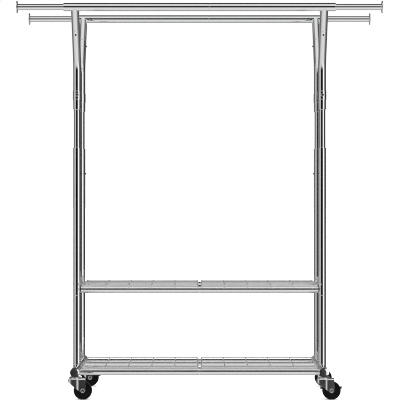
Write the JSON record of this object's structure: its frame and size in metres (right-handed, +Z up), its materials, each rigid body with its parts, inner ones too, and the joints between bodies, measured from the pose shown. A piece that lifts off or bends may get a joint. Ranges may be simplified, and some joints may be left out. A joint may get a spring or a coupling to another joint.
{
  "type": "rolling clothes rack",
  "caption": "Rolling clothes rack: two parallel hanging rails on splayed arms over telescoping posts, sliding rail extensions, wire shelves and swivel casters.",
  "frame": {"origin": "on the floor, under the middle of the overall box", "axes": "X along the hanging rails, -Y is the front, +Z up"},
  "size_m": [1.688, 0.6176, 1.8424],
  "materials": {
    "chrome_tube": "polished",
    "shelf_chrome": "satin",
    "caster_steel": "bright zinc",
    "button_steel": "satin",
    "black_plastic": "gloss",
    "grey_plastic": "matte",
    "wheel_black": "satin"
  },
  "bodies": {
    "base_frame": {"base_tube_left": "chrome_tube", "base_tube_right": "chrome_tube", "base_end_plugs": "black_plastic", "post_bushings": "grey_plastic", "shelf_couplers": "chrome_tube", "shelf_middle_left": "shelf_chrome", "shelf_middle_right": "shelf_chrome", "shelf_low_left": "shelf_chrome", "shelf_low_right": "shelf_chrome", "caster_stems": "caster_steel", "lower_post_front_left": "chrome_tube", "lower_post_front_right": "chrome_tube", "lower_post_rear_left": "chrome_tube", "lower_post_rear_right": "chrome_tube", "outer_post_front_left": "chrome_tube", "outer_post_front_right": "chrome_tube", "outer_post_rear_left": "chrome_tube", "outer_post_rear_right": "chrome_tube"},
    "upper_frame": {"arm_collars": "chrome_tube", "rail_couplers": "chrome_tube", "rail_bushings": "grey_plastic", "rail_lock_screws": "button_steel", "arm_front_left": "chrome_tube", "arm_front_right": "chrome_tube", "arm_rear_left": "chrome_tube", "arm_rear_right": "chrome_tube", "rail_front_left": "chrome_tube", "rail_front_right": "chrome_tube", "rail_rear_left": "chrome_tube", "rail_rear_right": "chrome_tube"},
    "extension_front_left": {"rail_extension_front_left": "chrome_tube"},
    "height_button_front_left": {"height_button_front_left": "button_steel"},
    "snap_button_front_left": {"snap_button_front_left": "button_steel"},
    "collar_button_front_left": {"collar_button_front_left": "button_steel"},
    "fork_front_left": {"caster_fork_front_left": "caster_steel", "caster_axle_front_left": "caster_steel"},
    "wheel_front_left": {"caster_wheel_front_left": "wheel_black"},
    "extension_front_right": {"rail_extension_front_right": "chrome_tube"},
    "height_button_front_right": {"height_button_front_right": "button_steel"},
    "snap_button_front_right": {"snap_button_front_right": "button_steel"},
    "collar_button_front_right": {"collar_button_front_right": "button_steel"},
    "fork_front_right": {"caster_fork_front_right": "caster_steel", "caster_axle_front_right": "caster_steel"},
    "wheel_front_right": {"caster_wheel_front_right": "wheel_black"},
    "brake_front_right": {"caster_brake_front_right": "caster_steel"},
    "extension_rear_left": {"rail_extension_rear_left": "chrome_tube"},
    "height_button_rear_left": {"height_button_rear_left": "button_steel"},
    "snap_button_rear_left": {"snap_button_rear_left": "button_steel"},
    "collar_button_rear_left": {"collar_button_rear_left": "button_steel"},
    "fork_rear_left": {"caster_fork_rear_left": "caster_steel", "caster_axle_rear_left": "caster_steel"},
    "wheel_rear_left": {"caster_wheel_rear_left": "wheel_black"},
    "brake_rear_left": {"caster_brake_rear_left": "caster_steel"},
    "extension_rear_right": {"rail_extension_rear_right": "chrome_tube"},
    "height_button_rear_right": {"height_button_rear_right": "button_steel"},
    "snap_button_rear_right": {"snap_button_rear_right": "button_steel"},
    "collar_button_rear_right": {"collar_button_rear_right": "button_steel"},
    "fork_rear_right": {"caster_fork_rear_right": "caster_steel", "caster_axle_rear_right": "caster_steel"},
    "wheel_rear_right": {"caster_wheel_rear_right": "wheel_black"}
  },
  "joints": [
    {"name": "height_slide", "type": "slide", "parent": "base_frame", "child": "upper_frame", "axis": [0, 0, 1], "range_m": [-0.15, 0]},
    {"name": "extension_slide_front_left", "type": "slide", "parent": "upper_frame", "child": "extension_front_left", "axis": [-1, 0, 0], "range_m": [-0.2, 0]},
    {"name": "height_button_press_front_left", "type": "slide", "parent": "upper_frame", "child": "height_button_front_left", "axis": [-1, 0, 0], "range_m": [0, 0.0035], "stiffness_N_per_m": 1500, "springref_m": -0.002},
    {"name": "snap_button_press_front_left", "type": "slide", "parent": "upper_frame", "child": "snap_button_front_left", "axis": [0, 0.8757, 0.4829], "range_m": [0, 0.0035], "stiffness_N_per_m": 1500, "springref_m": -0.002},
    {"name": "collar_button_press_front_left", "type": "slide", "parent": "upper_frame", "child": "collar_button_front_left", "axis": [0, 1, 0], "range_m": [0, 0.0025], "stiffness_N_per_m": 1500, "springref_m": -0.002},
    {"name": "caster_swivel_front_left", "type": "hinge", "parent": "base_frame", "child": "fork_front_left", "pos_m": [-0.575, -0.258, 0.1], "axis": [0, 0, 1], "continuous": true},
    {"name": "wheel_spin_front_left", "type": "hinge", "parent": "fork_front_left", "child": "wheel_front_left", "pos_m": [-0.54, -0.258, 0.0425], "axis": [0, 1, 0], "continuous": true},
    {"name": "extension_slide_front_right", "type": "slide", "parent": "upper_frame", "child": "extension_front_right", "axis": [1, 0, 0], "range_m": [-0.2, 0]},
    {"name": "height_button_press_front_right", "type": "slide", "parent": "upper_frame", "child": "height_button_front_right", "axis": [1, 0, 0], "range_m": [0, 0.0035], "stiffness_N_per_m": 1500, "springref_m": -0.002},
    {"name": "snap_button_press_front_right", "type": "slide", "parent": "upper_frame", "child": "snap_button_front_right", "axis": [0, 0.8757, 0.4829], "range_m": [0, 0.0035], "stiffness_N_per_m": 1500, "springref_m": -0.002},
    {"name": "collar_button_press_front_right", "type": "slide", "parent": "upper_frame", "child": "collar_button_front_right", "axis": [0, 1, 0], "range_m": [0, 0.0025], "stiffness_N_per_m": 1500, "springref_m": -0.002},
    {"name": "caster_swivel_front_right", "type": "hinge", "parent": "base_frame", "child": "fork_front_right", "pos_m": [0.575, -0.258, 0.1], "axis": [0, 0, 1], "continuous": true},
    {"name": "wheel_spin_front_right", "type": "hinge", "parent": "fork_front_right", "child": "wheel_front_right", "pos_m": [0.61, -0.258, 0.0425], "axis": [0, 1, 0], "continuous": true},
    {"name": "brake_press_front_right", "type": "hinge", "parent": "fork_front_right", "child": "brake_front_right", "pos_m": [0.61, -0.258, 0.0425], "axis": [0, 1, 0], "range_deg": [0, 20]},
    {"name": "extension_slide_rear_left", "type": "slide", "parent": "upper_frame", "child": "extension_rear_left", "axis": [-1, 0, 0], "range_m": [-0.2, 0]},
    {"name": "height_button_press_rear_left", "type": "slide", "parent": "upper_frame", "child": "height_button_rear_left", "axis": [-1, 0, 0], "range_m": [0, 0.0035], "stiffness_N_per_m": 1500, "springref_m": -0.002},
    {"name": "snap_button_press_rear_left", "type": "slide", "parent": "upper_frame", "child": "snap_button_rear_left", "axis": [-1, 0, 0], "range_m": [0, 0.0035], "stiffness_N_per_m": 1500, "springref_m": -0.002},
    {"name": "collar_button_press_rear_left", "type": "slide", "parent": "upper_frame", "child": "collar_button_rear_left", "axis": [0, -1, 0], "range_m": [0, 0.0025], "stiffness_N_per_m": 1500, "springref_m": -0.002},
    {"name": "caster_swivel_rear_left", "type": "hinge", "parent": "base_frame", "child": "fork_rear_left", "pos_m": [-0.575, 0.258, 0.1], "axis": [0, 0, 1], "continuous": true},
    {"name": "wheel_spin_rear_left", "type": "hinge", "parent": "fork_rear_left", "child": "wheel_rear_left", "pos_m": [-0.54, 0.258, 0.0425], "axis": [0, 1, 0], "continuous": true},
    {"name": "brake_press_rear_left", "type": "hinge", "parent": "fork_rear_left", "child": "brake_rear_left", "pos_m": [-0.54, 0.258, 0.0425], "axis": [0, 1, 0], "range_deg": [0, 20]},
    {"name": "extension_slide_rear_right", "type": "slide", "parent": "upper_frame", "child": "extension_rear_right", "axis": [1, 0, 0], "range_m": [-0.2, 0]},
    {"name": "height_button_press_rear_right", "type": "slide", "parent": "upper_frame", "child": "height_button_rear_right", "axis": [1, 0, 0], "range_m": [0, 0.0035], "stiffness_N_per_m": 1500, "springref_m": -0.002},
    {"name": "snap_button_press_rear_right", "type": "slide", "parent": "upper_frame", "child": "snap_button_rear_right", "axis": [1, 0, 0], "range_m": [0, 0.0035], "stiffness_N_per_m": 1500, "springref_m": -0.002},
    {"name": "collar_button_press_rear_right", "type": "slide", "parent": "upper_frame", "child": "collar_button_rear_right", "axis": [0, -1, 0], "range_m": [0, 0.0025], "stiffness_N_per_m": 1500, "springref_m": -0.002},
    {"name": "caster_swivel_rear_right", "type": "hinge", "parent": "base_frame", "child": "fork_rear_right", "pos_m": [0.575, 0.258, 0.1], "axis": [0, 0, 1], "continuous": true},
    {"name": "wheel_spin_rear_right", "type": "hinge", "parent": "fork_rear_right", "child": "wheel_rear_right", "pos_m": [0.61, 0.258, 0.0425], "axis": [0, 1, 0], "continuous": true}
  ]
}
